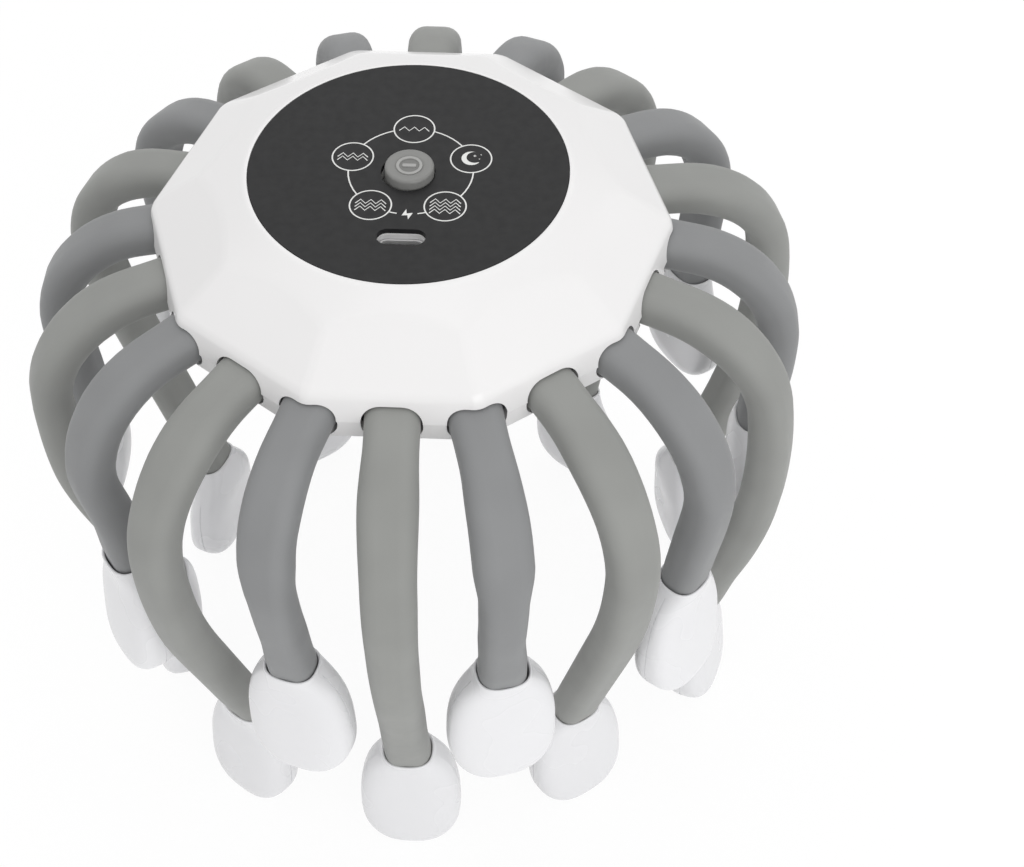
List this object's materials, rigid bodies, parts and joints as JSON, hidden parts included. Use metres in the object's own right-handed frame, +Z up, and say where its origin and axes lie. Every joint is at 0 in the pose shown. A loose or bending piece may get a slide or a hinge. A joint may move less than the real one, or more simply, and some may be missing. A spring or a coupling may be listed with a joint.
{
  "type": "electric scalp massager",
  "caption": "Handheld scalp massager with a faceted hub, a round control panel with one button, and flexible arms of two lengths that each end in a vibrating head pad.",
  "frame": {"origin": "centre of the bounding box, on the plane that the long arms' pads stand on", "axes": "+Z up along the hub axis out of the control panel, -Y towards the charging inlet side"},
  "size_m": [0.164, 0.1668, 0.1522],
  "materials": {
    "shell": "gloss",
    "pads": "gloss",
    "panel": "satin",
    "button": "satin",
    "long_arms": "matte",
    "short_arms": "matte",
    "frame": "matte",
    "board": "satin",
    "chips": "matte",
    "leds": "satin",
    "screws": "satin",
    "socket": "satin",
    "battery": "satin",
    "foam": "matte",
    "wires": "satin"
  },
  "bodies": {
    "hub": {"upper_shell": "shell", "lower_shell": "shell", "control_panel": "panel", "arm_ring": "frame", "housing_screws": "screws", "circuit_board": "board", "board_screws": "screws", "board_chips": "chips", "indicator_leds": "leds", "tact_switch": "chips", "socket_shell": "socket", "socket_tongue": "frame", "battery_cell": "battery", "battery_foam": "foam", "battery_wires": "wires"},
    "button": {"power_button": "button", "switch_plunger": "frame"},
    "short_arm_1": {"short_arm_1": "short_arms", "short_pad_1": "pads"},
    "long_arm_1": {"long_arm_1": "long_arms", "long_pad_1": "pads"},
    "short_arm_2": {"short_arm_2": "short_arms", "short_pad_2": "pads"},
    "long_arm_2": {"long_arm_2": "long_arms", "long_pad_2": "pads"},
    "short_arm_3": {"short_arm_3": "short_arms", "short_pad_3": "pads"},
    "long_arm_3": {"long_arm_3": "long_arms", "long_pad_3": "pads"},
    "short_arm_4": {"short_arm_4": "short_arms", "short_pad_4": "pads"},
    "long_arm_4": {"long_arm_4": "long_arms", "long_pad_4": "pads"},
    "short_arm_5": {"short_arm_5": "short_arms", "short_pad_5": "pads"},
    "long_arm_5": {"long_arm_5": "long_arms", "long_pad_5": "pads"},
    "short_arm_6": {"short_arm_6": "short_arms", "short_pad_6": "pads"},
    "long_arm_6": {"long_arm_6": "long_arms", "long_pad_6": "pads"},
    "short_arm_7": {"short_arm_7": "short_arms", "short_pad_7": "pads"},
    "long_arm_7": {"long_arm_7": "long_arms", "long_pad_7": "pads"},
    "short_arm_8": {"short_arm_8": "short_arms", "short_pad_8": "pads"},
    "long_arm_8": {"long_arm_8": "long_arms", "long_pad_8": "pads"},
    "short_arm_9": {"short_arm_9": "short_arms", "short_pad_9": "pads"},
    "long_arm_9": {"long_arm_9": "long_arms", "long_pad_9": "pads"},
    "short_arm_10": {"short_arm_10": "short_arms", "short_pad_10": "pads"},
    "long_arm_10": {"long_arm_10": "long_arms", "long_pad_10": "pads"}
  },
  "joints": [
    {"name": "button_press", "type": "slide", "parent": "hub", "child": "button", "axis": [0, 0, -1], "range_m": [0, 0.0005], "stiffness_N_per_m": 4000},
    {"name": "short_arm_1_flex", "type": "hinge", "parent": "hub", "child": "short_arm_1", "pos_m": [0.0523, 0, 0.1315], "axis": [0, -0.9997, 0.0262], "range_deg": [-4, 8], "stiffness_Nm_per_rad": 0.5},
    {"name": "long_arm_1_flex", "type": "hinge", "parent": "hub", "child": "long_arm_1", "pos_m": [0.04831, 0.0157, 0.1315], "axis": [0.3086, -0.9498, -0.0523], "range_deg": [-4, 8], "stiffness_Nm_per_rad": 0.5},
    {"name": "short_arm_2_flex", "type": "hinge", "parent": "hub", "child": "short_arm_2", "pos_m": [0.04231, 0.03074, 0.1315], "axis": [0.5878, -0.809, 0], "range_deg": [-4, 8], "stiffness_Nm_per_rad": 0.5},
    {"name": "long_arm_2_flex", "type": "hinge", "parent": "hub", "child": "long_arm_2", "pos_m": [0.02986, 0.0411, 0.1315], "axis": [0.809, -0.5878, 0], "range_deg": [-4, 8], "stiffness_Nm_per_rad": 0.5},
    {"name": "short_arm_3_flex", "type": "hinge", "parent": "hub", "child": "short_arm_3", "pos_m": [0.01616, 0.04974, 0.1315], "axis": [0.9511, -0.309, 0], "range_deg": [-4, 8], "stiffness_Nm_per_rad": 0.5},
    {"name": "long_arm_3_flex", "type": "hinge", "parent": "hub", "child": "long_arm_3", "pos_m": [0, 0.0508, 0.1315], "axis": [1, 0, 0], "range_deg": [-4, 8], "stiffness_Nm_per_rad": 0.5},
    {"name": "short_arm_4_flex", "type": "hinge", "parent": "hub", "child": "short_arm_4", "pos_m": [-0.01616, 0.04974, 0.1315], "axis": [0.9511, 0.309, 0], "range_deg": [-4, 8], "stiffness_Nm_per_rad": 0.5},
    {"name": "long_arm_4_flex", "type": "hinge", "parent": "hub", "child": "long_arm_4", "pos_m": [-0.02986, 0.0411, 0.1315], "axis": [0.8089, 0.5877, 0.0175], "range_deg": [-4, 8], "stiffness_Nm_per_rad": 0.5},
    {"name": "short_arm_5_flex", "type": "hinge", "parent": "hub", "child": "short_arm_5", "pos_m": [-0.04231, 0.03074, 0.1315], "axis": [0.5878, 0.809, 0], "range_deg": [-4, 8], "stiffness_Nm_per_rad": 0.5},
    {"name": "long_arm_5_flex", "type": "hinge", "parent": "hub", "child": "long_arm_5", "pos_m": [-0.04831, 0.0157, 0.1315], "axis": [0.3089, 0.9507, 0.0262], "range_deg": [-4, 8], "stiffness_Nm_per_rad": 0.5},
    {"name": "short_arm_6_flex", "type": "hinge", "parent": "hub", "child": "short_arm_6", "pos_m": [-0.0523, 0, 0.1315], "axis": [0, 1, -0.0087], "range_deg": [-4, 8], "stiffness_Nm_per_rad": 0.5},
    {"name": "long_arm_6_flex", "type": "hinge", "parent": "hub", "child": "long_arm_6", "pos_m": [-0.04831, -0.0157, 0.1315], "axis": [-0.3088, 0.9505, 0.0349], "range_deg": [-4, 8], "stiffness_Nm_per_rad": 0.5},
    {"name": "short_arm_7_flex", "type": "hinge", "parent": "hub", "child": "short_arm_7", "pos_m": [-0.04231, -0.03074, 0.1315], "axis": [-0.5872, 0.8082, -0.0436], "range_deg": [-4, 8], "stiffness_Nm_per_rad": 0.5},
    {"name": "long_arm_7_flex", "type": "hinge", "parent": "hub", "child": "long_arm_7", "pos_m": [-0.02986, -0.0411, 0.1315], "axis": [-0.809, 0.5878, 0.0087], "range_deg": [-4, 8], "stiffness_Nm_per_rad": 0.5},
    {"name": "short_arm_8_flex", "type": "hinge", "parent": "hub", "child": "short_arm_8", "pos_m": [-0.01616, -0.04974, 0.1315], "axis": [-0.9502, 0.3087, -0.0436], "range_deg": [-4, 8], "stiffness_Nm_per_rad": 0.5},
    {"name": "long_arm_8_flex", "type": "hinge", "parent": "hub", "child": "long_arm_8", "pos_m": [0, -0.0508, 0.1315], "axis": [-1, 0, 0], "range_deg": [-4, 8], "stiffness_Nm_per_rad": 0.5},
    {"name": "short_arm_9_flex", "type": "hinge", "parent": "hub", "child": "short_arm_9", "pos_m": [0.01616, -0.04974, 0.1315], "axis": [-0.9507, -0.3089, 0.0262], "range_deg": [-4, 8], "stiffness_Nm_per_rad": 0.5},
    {"name": "long_arm_9_flex", "type": "hinge", "parent": "hub", "child": "long_arm_9", "pos_m": [0.02986, -0.0411, 0.1315], "axis": [-0.8089, -0.5877, -0.0175], "range_deg": [-4, 8], "stiffness_Nm_per_rad": 0.5},
    {"name": "short_arm_10_flex", "type": "hinge", "parent": "hub", "child": "short_arm_10", "pos_m": [0.04231, -0.03074, 0.1315], "axis": [-0.587, -0.8079, 0.0523], "range_deg": [-4, 8], "stiffness_Nm_per_rad": 0.5},
    {"name": "long_arm_10_flex", "type": "hinge", "parent": "hub", "child": "long_arm_10", "pos_m": [0.04831, -0.0157, 0.1315], "axis": [-0.3088, -0.9505, -0.0349], "range_deg": [-4, 8], "stiffness_Nm_per_rad": 0.5}
  ]
}
